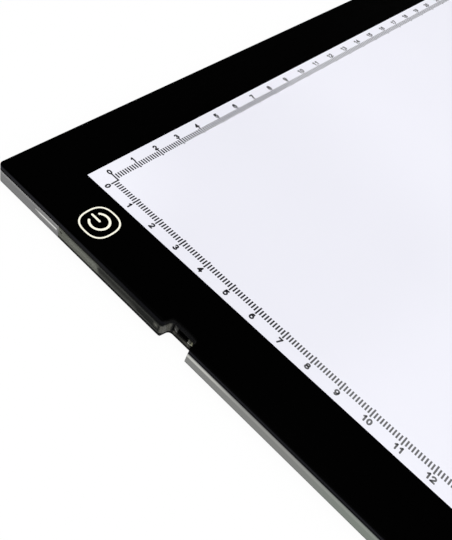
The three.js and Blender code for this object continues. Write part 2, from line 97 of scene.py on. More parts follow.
# %% A wire that can be added and multiplied
class Wire:
    """The output of a node, which can stand in a sum like a number."""

    def __init__(self, sheet, socket):
        self.sheet, self.socket = sheet, socket

    def sum(self, operation, first, second):
        """A Math node with that operation."""
        return self.sheet.node("Math", {"operation": operation}, {0: first, 1: second})

    def __add__(self, other):
        return self.sum("ADD", self, other)

    def __sub__(self, other):
        return self.sum("SUBTRACT", self, other)

    def __rsub__(self, other):
        return self.sum("SUBTRACT", other, self)

    def __mul__(self, other):
        return self.sum("MULTIPLY", self, other)

    def __truediv__(self, other):
        return self.sum("DIVIDE", self, other)

    def __abs__(self):
        return self.sum("ABSOLUTE", self, 0.0)

    __radd__, __rmul__ = __add__, __mul__


print("wires add, subtract, multiply and divide, with numbers too")

# %% A sheet of nodes
mix_first, mix_second, mix_result = 6, 7, 2


class NodeSheet:
    """The nodes of one material, or of the world."""

    def __init__(self, tree):
        self.tree = tree
        self.tree.nodes.clear()

    def node(self, kind, settings=None, sockets=None, give=0):
        """One node: its settings, then a value or a wire for each socket, then what it gives."""
        made = self.tree.nodes.new("ShaderNode" + kind)
        for name, value in (settings or {}).items():
            setattr(made, name, value)
        for key, value in (sockets or {}).items():
            self.feed(made.inputs[key], value)
        if isinstance(give, tuple):
            return [Wire(self, made.outputs[key]) for key in give]
        return Wire(self, made.outputs[give])

    def feed(self, socket, value):
        """Links a wire to a socket, or sets the socket to a value."""
        if isinstance(value, Wire):
            self.tree.links.new(value.socket, socket)
        elif socket.type == "RGBA":
            socket.default_value = (*value, 1.0)
        else:
            socket.default_value = value

    def blend(self, mask, first, second):
        """One colour where the mask is 0 and the other where it is 1."""
        return self.node(
            "Mix", {"data_type": "RGBA"},
            {"Factor": mask, mix_first: first, mix_second: second}, mix_result,
        )

    def coats(self, ground, *layers):
        """A ground colour with layers over it: each is a mask and the colour it lays on."""
        for mask, colour in layers:
            ground = self.blend(mask, ground, colour)
        return ground

    def ramp(self, wire, low, high):
        """0 below low, 1 above high and a soft step between. High may be the lower one."""
        return self.node(
            "MapRange", {"interpolation_type": "SMOOTHSTEP"},
            {"Value": wire, "From Min": low, "From Max": high},
        )

    def within(self, wire, low, high, soft):
        """1 between low and high, with soft ends."""
        return self.ramp(wire, low - soft, low + soft) * self.ramp(wire, high + soft, high - soft)


print("a sheet can blend, coat, ramp and band")

# %% [markdown]
# ## Finishes
# Every finish here is one Principled shader. What is the same all over, such as how
# strongly plastic mirrors, is set on the shader itself. What changes from place to place
# is worked out from the point's own place on the pad, in millimetres, so that a grain of
# half a millimetre is half a millimetre on every piece.

# %% A finish, and how a piece is dressed in it
class Finish(NodeSheet):
    """A material with one Principled shader."""

    def __init__(self, name, even=None):
        self.material = bpy.data.materials.new(name)
        self.material.use_nodes = True
        super().__init__(self.material.node_tree)
        self.shader = self.tree.nodes.new("ShaderNodeBsdfPrincipled")
        output = self.tree.nodes.new("ShaderNodeOutputMaterial")
        self.tree.links.new(self.shader.outputs["BSDF"], output.inputs["Surface"])
        self.set(even or {})

    def set(self, sockets):
        """Feeds the shader's own sockets, by name."""
        for name, value in sockets.items():
            self.feed(self.shader.inputs[name], value)

    def spot(self):
        """The point's place on the pad, as one vector in metres."""
        return self.node("TexCoord", give="Object")

    def place(self):
        """The point's place on the pad, as three wires in millimetres."""
        parts = self.node("SeparateXYZ", sockets={"Vector": self.spot()}, give=("X", "Y", "Z"))
        return [part / mm for part in parts]

    def facing(self):
        """How far the surface faces sideways, endways and up, each from -1 to 1."""
        normal = self.node("NewGeometry", give="Normal")
        return self.node("SeparateXYZ", sockets={"Vector": normal}, give=("X", "Y", "Z"))

    def grain(self, size, detail, across=(1, 1, 1)):
        """Noise about 0.5 with patches of that many millimetres, drawn out along an axis."""
        scale = tuple(1 / (size * mm * stretch) for stretch in across)
        vector = self.node(
            "VectorMath", {"operation": "MULTIPLY"}, {0: self.spot(), 1: scale}, "Vector")
        return self.node(
            "TexNoise", sockets={"Vector": vector, "Scale": 1.0, "Detail": detail}, give="Fac")

    def relief(self, height, depth, strength):
        """A bump: height runs from 0 to 1 and depth is its full height in millimetres."""
        return self.node(
            "Bump", sockets={"Height": height, "Distance": depth * mm, "Strength": strength},
            give="Normal")


def dress(finish, *names):
    """Gives CAD solids their finish. Their shapes and places stay as they are."""
    for name in names:
        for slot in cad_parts[name].material_slots:
            slot.material = finish.material
    print(finish.material.name, "on", ", ".join(names))


# %% [markdown]
# ## Places that the finishes share
# Light, polish and dust change at the same few places on the side: at the two ends of the
# plug recess, at its back wall and at the rear end of the port housing. They could be read
# off the solids' points, but a rounded side has few clear corners, so they are written
# down once, in millimetres from the pad's middle, or from the table for a height. In the
# cells that follow, two numbers say where a tone sets in and where it is full, and three
# say from where to where a band runs and how soft its ends are.

# %% Places on the side
recess_front, recess_rear, recess_back = 42.45, 51.85, -170.2
housing_end, side_face, pad_top = 95.3, -173.8, 8.0
print("recess: from", recess_front, "to", recess_rear, "and back to", recess_back)

# %% [markdown]
# ## The black border
# The border is cast acrylic, 2 mm thick, dyed right through, so nothing shows in it but
# what its gloss mirrors. Its outer edge was cut and flame polished: there the dye is a little
# bluer, and the gloss a little duller, and a painted sheen lies on it, stronger towards the
# rear. In front of the recess painted light lifts the edge from under it, as the pale strip
# below would light it, and in the recess the edge carries a painted dark grey sheen.
# Separate pieces for these tones would leave seams, so ramps blend them. Wiping leaves
# hair-fine marks that only the roughness shows.

# %% Where the border's edge changes
lying_face, level_face = (0.5, 0.95), (0.98, 0.999)
top_skin, recess_wall = (pad_top - 0.008, pad_top - 0.002), (side_face + 0.5, side_face + 1.1)
front_start, recess_reach, front_band_rise = (45, 42), (42, 53, 0.5), (7.2, 6.0)
band_rise, band_reach, band_least = (6.4, 7.5, 0.35), (55, 100), 0.4
border = Finish("gloss black acrylic", {
    "IOR": 1.49, "Specular IOR Level": 0.02, "Coat IOR": 1.49, "Coat Roughness": 0.05})
_, _, up = border.facing()
x, y, z = border.place()
face_up = border.ramp(up, *lying_face)
polished_top = border.ramp(up, *level_face) * border.ramp(z, *top_skin)
in_front = border.ramp(y, *front_start)
in_recess = border.ramp(x, *recess_wall) * border.within(y, *recess_reach) * (1 - face_up)
# The edge band is the bluish dye of the edge with a painted sheen, stronger towards the rear.
sheen_strength = border.ramp(y, *band_reach) * (1 - band_least) + band_least
rear_sheen_band = border.within(z, *band_rise) * sheen_strength
edge_sheen_band = rear_sheen_band * (1 - in_front) + border.ramp(z, *front_band_rise) * in_front
print("border: the edge is bluish from", band_rise[0], "to", band_rise[1], "mm up")

# %% Gloss black acrylic
border_black, edge_dye_and_sheen = (0.0002,) * 3, (0.0032, 0.0032, 0.0072)
near_edge_painted_light, recess_edge_sheen = (0.010, 0.010, 0.014), (0.0075, 0.0075, 0.0080)
lit_foot, recess_foot = (6.8, 5.9), (7.6, 6.5)
front_dull_rise, middle_start, corner_dull_rise = (6.3, 7.1), (90, 60), (6.45, 6.1)
corner_start = (housing_end + 0.2, housing_end + 1.2)
dull_depth = (side_face + 1.6, side_face + 2.8)
dull_reach = (recess_front - 0.45, recess_rear + 0.15, 0.5)
dull_front, dull_middle, dull_recess, dull_corner = 0.8, 0.4, 0.35, 0.6
# Painted light on the edge: the sheen of the bluish band, light from below in front of the recess,
# and a dark grey sheen in the recess.
edge_colour = border.coats(
    border_black,
    (edge_sheen_band * (1 - face_up), edge_dye_and_sheen),
    (border.ramp(z, *lit_foot) * in_front, near_edge_painted_light),
    (in_recess, border.blend(border.ramp(z, *recess_foot), border_black, recess_edge_sheen)),
)
duller = border.ramp(z, *front_dull_rise) * in_front * dull_front
duller = duller + border.ramp(y, *middle_start) * (1 - in_front) * dull_middle
duller = duller + border.ramp(x, *dull_depth) * border.within(y, *dull_reach) * dull_recess
duller = duller + border.ramp(y, *corner_start) * border.ramp(z, *corner_dull_rise) * dull_corner
wiping = border.grain(0.7, 4, across=(14, 1, 1))
haze = border.grain(22, 2)
border.set({
    "Base Color": edge_colour,
    "Roughness": 0.08 + haze * 0.06 + wiping * 0.08 + duller * (1 - polished_top),
    "Coat Weight": polished_top * (0.7 - wiping * 0.1),
    "Normal": border.relief(haze, 0.02, 0.2),
})
dress(border, "front_bezel")

# %% [markdown]
# ## The lit panel
# The panel is opal acrylic with light strips behind its long edges. It shines almost
# evenly in a cool white, a touch brighter in the corners, away from the recess and towards
# the near strip, with faint clouds. The light could come from lamps inside, but thousands
# of bounces would only bring noise: a glow of the surface itself says the same. What it
# adds to the room's own light makes up the white in the picture.

# %% Opal acrylic with the light on
opal_white, opal_cloud_gain = (0.42, 0.42, 0.45), 1.02
glow_middle, glow_edge = (0.38, 0.38, 0.42), (0.46, 0.46, 0.505)
window_half, corner_reach, near_start, away_start = (155.0, 105.0), 35, (25, -10), (-100, -35)
corner_glow, near_glow, away_glow, cloud_glow = 0.7, 0.5, 0.6, 0.2
opal = Finish("opal acrylic, lit", {
    "IOR": 1.49, "Specular IOR Level": 0.3, "Emission Strength": 1.0,
})
x, y, _ = opal.place()
in_corner = opal.ramp(abs(x), window_half[0] - corner_reach, window_half[0]) * opal.ramp(
    abs(y), window_half[1] - corner_reach, window_half[1])
cloud = opal.grain(60, 2)
uneven = in_corner * corner_glow + opal.ramp(y, *near_start) * near_glow
uneven = uneven + opal.ramp(x, *away_start) * away_glow + cloud * cloud_glow
opal.set({
    "Base Color": opal.blend(cloud, opal_white, tuple(c * opal_cloud_gain for c in opal_white)),
    "Emission Color": opal.blend(uneven, glow_middle, glow_edge),
    "Roughness": 0.16 + opal.grain(0.5, 3) * 0.08,
})
dress(opal, "tracing_panel")

# %% [markdown]
# ## The side strip
# A strip of satin anodised aluminium is bent round the four sides. It was brushed along
# its length before it was bent, and its edges were broken with a file, which leaves them
# brighter; where they face up, a painted highlight adds to that. Just in front of the
# recess the strip is painted lighter, and its upper part carries a painted highlight that
# fades out along the side; a fainter painted highlight runs along the top at the rear
# corner. Brushing could be modelled as grooves, but at this distance only its streaks show,
# and noise drawn out along the strip gives them. Near the rear corner a short slit lets the
# light inside show. The slit is a real hole in the strip, and the glow on its walls is
# painted light from inside.

# %% Brushed tones of the strip
satin_dark, satin_light = (0.144, 0.144, 0.145), (0.220, 0.220, 0.222)
satin_painted_light, satin_green = (0.27, 0.275, 0.255), (0.20, 0.235, 0.20)
painted_highlight = (0.62, 0.62, 0.58)
highlight_rise, rear_highlight_rise = (3.8, 4.85, 0.3), (4.7, 5.5, 0.3)
faint_run, faint_share, strong_run, strong_share = (-80, 24), 0.2, (22, 38), 0.62
green_start, green_share = (8, -14), 0.7
brushing_share, painted_light_share, rear_highlight_share = 0.6, 0.5, 0.12
satin = Finish("satin anodised aluminium", {"Emission Strength": 1.0})
x, y, z = satin.place()
brushing = satin.grain(0.12, 4, across=(60, 60, 1))
patches = satin.grain(9, 3, across=(3, 3, 1))
in_front = satin.ramp(y, recess_front + 1, recess_front)
at_rear = satin.ramp(y, housing_end - 0.3, housing_end + 0.7)
front_highlight = satin.within(z, *highlight_rise) * in_front
fading = satin.ramp(y, *faint_run) * faint_share + satin.ramp(y, *strong_run) * strong_share
# Painted light: the strip is painted lighter in front of the recess, with a painted highlight along
# its upper part there and a fainter one along the top at the rear corner.
brushed = satin.coats(
    satin_dark,
    (brushing * brushing_share + patches * (1 - brushing_share), satin_light),
    (in_front * painted_light_share, satin_painted_light),
    (satin.ramp(y, *green_start) * green_share, satin_green),
    (front_highlight * fading, painted_highlight),
    (satin.within(z, *rear_highlight_rise) * at_rear * rear_highlight_share, painted_highlight),
)
print("strip: polished from", highlight_rise[0], "to", highlight_rise[1], "mm up")

# %% Satin grey aluminium
filed_edge_and_highlight, rear_edge_grey = (0.70, 0.70, 0.68), (0.36, 0.36, 0.365)
satin_shadow, slit_black, slit_glow = (0.03, 0.03, 0.036), (0.0, 0.0, 0.0), (0.64, 0.64, 0.62)
filed_slope, rear_edge_rise = (0.25, 0.9, 0.1), (5.05, 5.5)
top_shadow, foot_shadow = (4.95, 5.35), (1.7, 0.9)
slit_mouth, slit_span = (side_face - 0.05, side_face + 0.25), (95.8, 106.4, 0.2)
slit_rise, slit_end = (2.5, 3.6, 0.1), (106.5, 103.5)
edge_share, foot_shadow_share, slit_end_share = 0.9, 0.5, 0.45
_, _, up = satin.facing()
filed_and_lit = satin.within(up, *filed_slope)
rear_edge = satin.ramp(z, *rear_edge_rise) * at_rear
shadow = satin.ramp(z, *top_shadow) * in_front + satin.ramp(z, *foot_shadow) * foot_shadow_share
in_slit = satin.ramp(x, *slit_mouth) * satin.within(y, *slit_span) * satin.within(z, *slit_rise)
slit_light = in_slit * (satin.ramp(y, *slit_end) * (1 - slit_end_share) + slit_end_share)
# The filed edges' tone holds a painted highlight where they face up, the shadow layer is painted
# shade, and the slit's glow is painted light from inside.
satin.set({
    "Base Color": satin.coats(
        brushed,
        (filed_and_lit * edge_share, filed_edge_and_highlight),
        (rear_edge, rear_edge_grey),
        (shadow, satin_shadow),
    ),
    "Metallic": 1 - rear_edge * 0.8,
    "Emission Color": satin.blend(slit_light, slit_black, slit_glow),
    "Roughness": 0.34 + brushing * 0.16 - filed_and_lit * 0.08,
    "Normal": satin.relief(brushing, 0.01, 0.5),
})
dress(satin, "side_frame")

# %% [markdown]
# ## The port housing
# The gap in the strip is filled by a moulded piece of smoked plastic. It is thin towards
# the rear corner, where the white frame behind it shines through as a greenish grey, and
# turns cloudy and dark towards the recess. Real smoked plastic could be rendered as a
# tinted volume with the frame behind it, which takes long and stays noisy, so the tones
# are blended on the surface, first along the side and then up it.

# %% How deep the smoke is along the side
smoke_pale, painted_sheen_tone = (0.128, 0.133, 0.112), (0.168, 0.172, 0.150)
smoke_mid, smoke_dark = (0.016, 0.017, 0.014), (0.002, 0.003, 0.002)
thin_start, thin_wander, deep_start, deep_wander = (78.6, 80.4), 3, (74.5, 68.5), 16
lit_rise, lit_end = (3.4, 4.3, 0.6), (93, 90)
foot_sheen_rise, foot_sheen_share = (2.1, 2.5, 0.2), 0.4
top_shade_rise, top_shade_end, top_shade_share = (4.9, 5.6), (93.5, 91.5), 0.65
smoke = Finish("smoked plastic", {"IOR": 1.5, "Specular IOR Level": 0.025})
x, y, z = smoke.place()
clouds = smoke.grain(3.2, 4, across=(1, 1.8, 0.6))
thin = smoke.ramp(y + clouds * thin_wander, *thin_start)
deep = smoke.ramp(y + clouds * deep_wander, *deep_start)
foot_sheen_line = smoke.within(z, *foot_sheen_rise)
lit_middle = smoke.within(z, *lit_rise) * smoke.ramp(y, *lit_end)
top_painted_shade = smoke.ramp(z, *top_shade_rise) * smoke.ramp(y, *top_shade_end)
# The thin smoke has a painted highlight across its middle, a painted sheen above its foot and
# painted shade along its top.
thin_tone = smoke.coats(
    smoke_pale,
    (lit_middle + foot_sheen_line * foot_sheen_share, painted_sheen_tone),
    (top_painted_shade * top_shade_share, smoke_mid),
)
print("housing: thin beyond", thin_start[1], "mm and deep before", deep_start[1], "mm")

# %% [markdown]
# ## Lines and patches on the housing
# A parting line of the mould runs along the upper part, with a painted sheen on it. A pale
# line of painted sheen runs just above the foot, a broader painted sheen lightens the lower
# part, and the very foot is painted black as shade, where the back cover starts. Next to
# the recess a painted soft patch of light shows. The lines could be fine ribs, but what is
# seen of them is a tone and no shadow, so each one is a mask, laid over the tones that are
# already there.

# %% The housing's outer face
sheen_grey, foot_sheen_grey = (0.080, 0.082, 0.074), (0.078, 0.080, 0.072)
light_patch, outer_face = (0.13, 0.13, 0.11), (side_face + 0.8, side_face + 0.3)
sheen_rise, sheen_cloud, sheen_least = (4.0, 2.6), 0.8, 0.1
parting_sheen_rise, parting_sheen_share, parting_sheen_loss, deep_share = (4.75, 5.55, 0.3), 0.36, 0.12, 0.7
foot_sheen_strength, foot_sheen_end, foot_sheen_loss = 0.95, (58, 55.5), 0.4
patch_span, patch_rise, patch_share = (53.8, 55.1, 0.6), (3.5, 4.7, 0.6), 0.78
sheen = smoke.ramp(z, *sheen_rise) * (1 - deep) * (clouds * sheen_cloud + sheen_least)
parting_and_sheen = smoke.within(z, *parting_sheen_rise)
foot_sheen_fading = foot_sheen_strength - smoke.ramp(y, *foot_sheen_end) * foot_sheen_loss
patch = smoke.within(y, *patch_span) * smoke.within(z, *patch_rise) * smoke.ramp(x, *outer_face)
# Painted light on the outer face: the sheens, the sheen on the parting line and the patch of light.
outer_tone = smoke.coats(
    smoke_mid,
    (deep * deep_share, smoke_dark),
    (sheen, sheen_grey),
    (parting_and_sheen * (parting_sheen_share - deep * parting_sheen_loss), sheen_grey),
    (foot_sheen_line * foot_sheen_fading, foot_sheen_grey),
    (thin, thin_tone),
    (patch * patch_share, light_patch),
)
print("housing: parting line from", parting_sheen_rise[0], "to", parting_sheen_rise[1], "mm up")

# %% [markdown]
# ## Inside the recess
# The flared rear wall of the recess faces the light, and painted light makes it the palest
# part. Painted shade darkens the corner behind it, the near end and the foot of the inner
# face, and keeps the back wall around the socket black; a little light from below reaches
# that wall under the socket, most of it towards the near end. A lamp in the recess would
# light the border and the strip as well, so this light is laid on too.

# %% Light in the recess
end_wall_turn, end_wall_span, end_wall_top = (0.1, 0.5), (51, 53.2, 0.3), (5.5, 4.9)
corner_span, corner_depth = (50.6, 51.5, 0.25), (recess_back - 1.3, recess_back - 0.8)
back_wall_depth, back_wall_end = (recess_back - 1, recess_back - 0.4), (50.8, 50.6)
near_light_start, near_light, least_light = (48, 45.8), 0.35, 0.22
far_light_span, far_light = (49.7, 50.6, 0.2), 0.35
stroke_span, stroke_light = (44.8, 45.4, 0.2), 0.3
gap_start, gap_rise, light_top, light_end = (44.7, 44.3), (2.8, 1.9), (2.9, 2.3), (43.9, 44.3)
_, endways, _ = smoke.facing()
end_wall = smoke.ramp(-1 * endways, *end_wall_turn) * smoke.within(y, *end_wall_span)
end_wall = end_wall * smoke.ramp(z, *end_wall_top)
corner = smoke.within(y, *corner_span) * smoke.ramp(x, *corner_depth)
back_wall = smoke.ramp(x, *back_wall_depth) * smoke.ramp(y, *back_wall_end)
light_below = smoke.ramp(y, *near_light_start) * near_light + least_light
light_below = light_below + smoke.within(y, *far_light_span) * far_light
light_below = light_below + smoke.within(y, *stroke_span) * stroke_light
light_below = light_below - smoke.ramp(y, *gap_start) * smoke.ramp(z, *gap_rise) * near_light
light_below = light_below * back_wall * smoke.ramp(z, *light_top) * smoke.ramp(y, *light_end)
print("recess: light from below up to", light_top[0], "mm")

# %% Smoked plastic
lit_wall, corner_painted_shade, smoke_painted_shade = (0.095, 0.094, 0.082), (0.010,) * 3, (0.0015,) * 3
near_wall, inner_face, inner_foot = (44.0, 43.7), (side_face + 0.8, side_face + 1.4), (1.7, 1.4)
foot_face, outer_foot, foot_paler = (side_face + 1.2, side_face + 0.8), (2.2, 1.95), 0.1
rough_depth, rough_inside = (side_face + 1.8, side_face + 2.8), 0.35
# The foot's black is painted shade.
foot_painted_shade = smoke.ramp(z, *outer_foot) * smoke.ramp(x, *foot_face) * (1 - thin * foot_paler)
specks = smoke.grain(0.6, 3)
# Over the outer tones: painted light on the recess's rear wall, and painted shade in its corner, on
# its back wall, near end and inner foot, and along the outer foot.
smoke.set({
    "Base Color": smoke.coats(
        outer_tone,
        (end_wall, lit_wall),
        (corner, corner_painted_shade),
        (back_wall, smoke_painted_shade),
        (light_below, light_patch),
        (smoke.ramp(y, *near_wall), smoke_painted_shade),
        (smoke.ramp(x, *inner_face) * smoke.ramp(z, *inner_foot), smoke_painted_shade),
        (foot_painted_shade, smoke_painted_shade),
    ),
    "Roughness": 0.14 + specks * 0.12 + smoke.ramp(x, *rough_depth) * rough_inside,
    "Normal": smoke.relief(specks, 0.02, 0.5),
})
dress(smoke, "port_housing")

# %% [markdown]
# ## Tape, back cover and feet
# The bonding tape only shows as a hairline of matt black, a little greyer in front of the
# rear corner. The back cover is a thin black sheet with the fine leather grain that hides
# fingerprints, and the feet are soft rubber discs. One matt black could serve all three,
# but then nothing would tell them apart when the pad is turned over. So one helper makes
# the blacks, each with its own grain, and the tape has its own finish, greyer in front.

# %% Matt blacks
grains_in_a_patch = 30


def matt_black(name, colour, worn, roughness, grain_size, depth, sheen_level=0.08):
    """A black finish whose fine grain goes into colour, roughness and relief alike."""
    finish = Finish(name, {"IOR": 1.5, "Specular IOR Level": sheen_level})
    pebbles = finish.grain(grain_size, 4)
    use = finish.grain(grain_size * grains_in_a_patch, 3)
    finish.set({
        "Base Color": finish.blend(pebbles * 0.5 + use * 0.5, colour, worn),
        "Roughness": roughness + pebbles * 0.15 - use * 0.08,
        "Normal": finish.relief(pebbles, depth, 0.8),
    })
    return finish


cover_black = matt_black(
    "grained black sheet", (0.002,) * 3, (0.006,) * 3, roughness=0.5, grain_size=0.55,
    depth=0.06, sheen_level=0.01)
foot_rubber = matt_black(
    "soft black rubber", (0.012,) * 3, (0.024,) * 3, roughness=0.8, grain_size=0.3, depth=0.04)
dress(cover_black, "back_cover")
dress(foot_rubber, *[f"rubber_foot_{number}" for number in (1, 2, 3, 4)])

# %% Bonding tape
tape_black, tape_front_grey = (0.0005,) * 3, (0.009, 0.009, 0.011)
front_grey_start, tape_grain_share, front_grey_least = (97, 94), 0.6, 0.7
tape = Finish("black bonding tape", {"IOR": 1.5, "Specular IOR Level": 0.0})
_, y, _ = tape.place()
tape_grain = tape.grain(0.4, 4)
# The tape is a little greyer in front of the rear corner, with its grain in the grey.
front_grey = tape.ramp(y, *front_grey_start) * (tape_grain * tape_grain_share + front_grey_least)
tape.set({
    "Base Color": tape.blend(front_grey, tape_black, tape_front_grey),
    "Roughness": 0.75 + tape_grain * 0.15,
    "Normal": tape.relief(tape_grain, 0.02, 0.8),
})
dress(tape, "bond_tape")

# %% [markdown]
# ## The socket in the recess
# At the back of the recess is the mouth of the supply socket: a folded steel shell, tin
# plated, with a black tongue that carries the contacts. Inside the mouth the steel is
# painted almost black, as shade. Light falls in at a slant and leaves two upright strokes
# at the near end and a grey patch at the far end. Mirrored light would move about with
# every change of lamp, so the strokes are laid on as tones that lean the way the light
# falls: the deeper a point lies, the further it is shifted before it is compared with a
# stroke's place.

# %% Where light falls in the socket
light_slant, light_fall = 0.465, 1.61
far_span, strokes_span = (49.4, 50.5, 0.25), (43.8, 45.4, 0.12)
first_span, second_span = (44.85, 45.3, 0.15), (43.8, 44.3, 0.2)
below_rim_start, far_top, second_start = (5.1, 4.5), (5.4, 4.9), (3.0, 4.0)
plated = Finish("plated steel", {"Specular IOR Level": 0.02})
x, y, z = plated.place()
depth = x - recess_back
lean = y - depth * light_slant
height = z + depth * light_fall
below_rim = plated.ramp(height, *below_rim_start)
far_end = plated.within(lean, *far_span) * plated.ramp(height, *far_top)
strokes = plated.within(lean, *strokes_span) * below_rim
first_stroke = plated.within(lean, *first_span) * below_rim
second_stroke = plated.within(lean, *second_span) * below_rim * plated.ramp(height, *second_start)
print("socket: strokes of light at", first_span[0], "and", second_span[0], "mm")

# %% Plated steel and black moulding
plated_steel, mouth_painted_shade, mouth_grey = (0.50, 0.50, 0.49), (0.002,) * 3, (0.17, 0.17, 0.16)
stroke_warm, stroke_bright, stroke_dim = (0.66, 0.66, 0.58), (0.66, 0.66, 0.46), (0.30, 0.31, 0.25)
mouth_end, far_share, first_share = (-166.6, -167.2), 0.8, 0.8
inside = plated.ramp(x, *mouth_end)
scratches = plated.grain(0.4, 4, across=(1, 4, 1))
# Inside the mouth: painted shade, with painted light for the far patch and the strokes.
mouth = plated.coats(
    mouth_painted_shade,
    (far_end * far_share, mouth_grey),
    (strokes, stroke_dim),
    (first_stroke * first_share, stroke_warm),
    (second_stroke, stroke_bright),
)
plated.set({
    "Base Color": plated.blend(inside, plated_steel, mouth),
    "Metallic": 1 - inside,
    "Roughness": 0.3 + scratches * 0.15,
    "Normal": plated.relief(scratches, 0.008, 0.5),
})
dress(plated, "usb_socket_shell")
contact_black = matt_black(
    "black contact moulding", (0.01,) * 3, (0.02,) * 3, roughness=0.45, grain_size=0.3, depth=0.01)
dress(contact_black, "usb_socket_tongue")

# %% [markdown]
# ## What is inside
# Nothing of this shows from outside, but the solids are there when the pad is taken
# apart, so each has the finish of the real piece: white moulding, films, guide, strips,
# the board and what is soldered to it. They could share one white and one black. Two
# helpers and a table cost little more and let each piece be told from its neighbour.

# %% Finishes of moulded pieces, films and metals
def moulded(name, first, second, roughness, grain_size, even=None):
    """A plastic, film or coated piece: two close tones in one grain."""
    finish = Finish(name, even)
    grain = finish.grain(grain_size, 3)
    finish.set({
        "Base Color": finish.blend(grain, first, second),
        "Roughness": roughness + grain * 0.12,
        "Normal": finish.relief(grain, 0.01, 0.6),
    })
    return finish


def metal(name, dull, bright, roughness, grain_size):
    """A metal whose grain runs from a dull to a bright tone."""
    finish = Finish(name, {"Metallic": 1.0})
    marks = finish.grain(grain_size, 4)
    finish.set({
        "Base Color": finish.blend(marks, dull, bright),
        "Roughness": roughness + marks * 0.15,
        "Normal": finish.relief(marks, 0.008, 0.5),
    })
    return finish


print("helpers for moulded pieces and metals are ready")

# %% Dress the inner pieces
clear_guide = {"Transmission Weight": 0.9, "IOR": 1.49}
# Each row: helper, name, dull tone, bright tone, roughness, grain in millimetres, pieces
inner_rows = [
    (moulded, "white moulding", (0.74, 0.74, 0.72), (0.82, 0.82, 0.80), 0.45, 2.0,
     ["inner_chassis"]),
    (moulded, "white reflector film", (0.82,) * 3, (0.88,) * 3, 0.6, 1.0, ["reflector_sheet"]),
    (moulded, "opal diffuser film", (0.80, 0.80, 0.82), (0.86, 0.86, 0.88), 0.5, 0.8,
     ["diffuser_sheet"]),
    (moulded, "light strip", (0.80, 0.77, 0.64), (0.88, 0.86, 0.75), 0.35, 1.2,
     ["rear_led_strip", "front_led_strip"]),
    (moulded, "green circuit board", (0.01, 0.07, 0.03), (0.02, 0.12, 0.05), 0.3, 0.8,
     ["driver_board"]),
    (moulded, "black chip package", (0.008,) * 3, (0.016,) * 3, 0.5, 0.2,
     ["touch_chip", "dimmer_transistor"]),
    (moulded, "tan ceramic", (0.36, 0.22, 0.12), (0.46, 0.30, 0.17), 0.4, 0.4,
     ["filter_capacitor"]),
    (moulded, "ivory plug plastic", (0.78, 0.75, 0.66), (0.86, 0.83, 0.76), 0.4, 0.8,
     ["rear_led_plug", "front_led_plug"]),
    (moulded, "red lead sheath", (0.34, 0.008, 0.008), (0.44, 0.014, 0.012), 0.45, 0.7,
     ["rear_led_lead", "front_led_lead"]),
    (metal, "copper foil", (0.62, 0.30, 0.17), (0.80, 0.42, 0.25), 0.28, 0.8,
     ["touch_electrode"]),
    (metal, "gilt spring wire", (0.62, 0.46, 0.18), (0.80, 0.62, 0.28), 0.22, 0.3,
     ["touch_spring"]),
]
for helper, name, dull, bright, roughness, grain_size, pieces in inner_rows:
    dress(helper(name, dull, bright, roughness, grain_size), *pieces)
dress(moulded("clear acrylic guide", (0.90, 0.95, 0.95), (0.95, 0.98, 0.98), 0.05, 12.0,
              clear_guide), "light_guide")

# %% [markdown]
# ## The rulers
# Two rulers are printed on the panel, from a common zero: one along the rear edge and one
# down the left edge, with a line each millimetre and a longer one with a number each
# centimetre. Printed marks could be an image, but real thin ink stays sharp at any
# distance. Each line is a flat bar of ink, a few hundredths of a millimetre thick, sunk
# slightly into the panel's face so that it can't flicker. A screen print is never quite
# true: the left ruler starts a little low, catches up in its first centimetres and leans
# in slightly, so one function turns a place on a ruler into a place on the panel.

# %% Where the rulers lie
panel_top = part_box("tracing_panel")[1].z
ink_low, ink_high = panel_top - 0.01 * mm, panel_top + 0.03 * mm
ruler_zero = Vector((-148.5, 98.42)) * mm
rear_ruler_cm, left_ruler_cm = 30, 20
line_width, line_gap, line_length = 0.49, 0.35, 2.05
long_gap, long_length = -0.03, 2.97
rear_shift, number_height, rear_number_centre, left_number_centre = -0.16, 2.0, 3.93, 4.3
left_start, left_shrink, left_tilt, left_aside = 0.4, 0.02, 0.004, 0.05
one_cm = 10


def left_print(along):
    """Starts a little low, is right at one centimetre, and runs short over the next one."""
    low = left_start * max(0, 1 - along / one_cm)
    return along + low - left_shrink * min(max(along - one_cm, 0), one_cm)


def ruler_point(along, out, down_left):
    """A point of a ruler: millimetres along it from zero, and out towards the border."""
    if down_left:
        return ruler_zero + Vector((left_tilt * along - left_aside - out, -left_print(along))) * mm
    return ruler_zero + Vector((along, out + rear_shift)) * mm


print("rulers:", rear_ruler_cm, "cm along the rear,", left_ruler_cm, "cm down the left")

# %% Flat bars of ink
def add_slab(body, outline):
    """A flat slab of ink with that outline, given as points anticlockwise from above."""
    low = [body.verts.new((px, py, ink_low)) for px, py in outline]
    high = [body.verts.new((px, py, ink_high)) for px, py in outline]
    body.faces.new(high)
    body.faces.new(low[::-1])
    for index in range(len(outline)):
        after = (index + 1) % len(outline)
        body.faces.new((low[index], low[after], high[after], high[index]))


def add_line(body, along, inner, outer, down_left):
    """One line of a ruler, across it from the inner to the outer end."""
    corners = [(along - line_width / 2, inner), (along + line_width / 2, inner),
               (along + line_width / 2, outer), (along - line_width / 2, outer)]
    if down_left:
        corners = corners[::-1]
    add_slab(body, [ruler_point(*corner, down_left) for corner in corners])


print(f"ink: {(ink_high - ink_low) / mm:.2f} mm thick")

# %% [markdown]
# ## Turning a mesh in progress into a piece
# Every new piece moves with the pad's one body and gets its finish's material. These
# lines could stand after each piece, but one helper does both, so that none is forgotten.

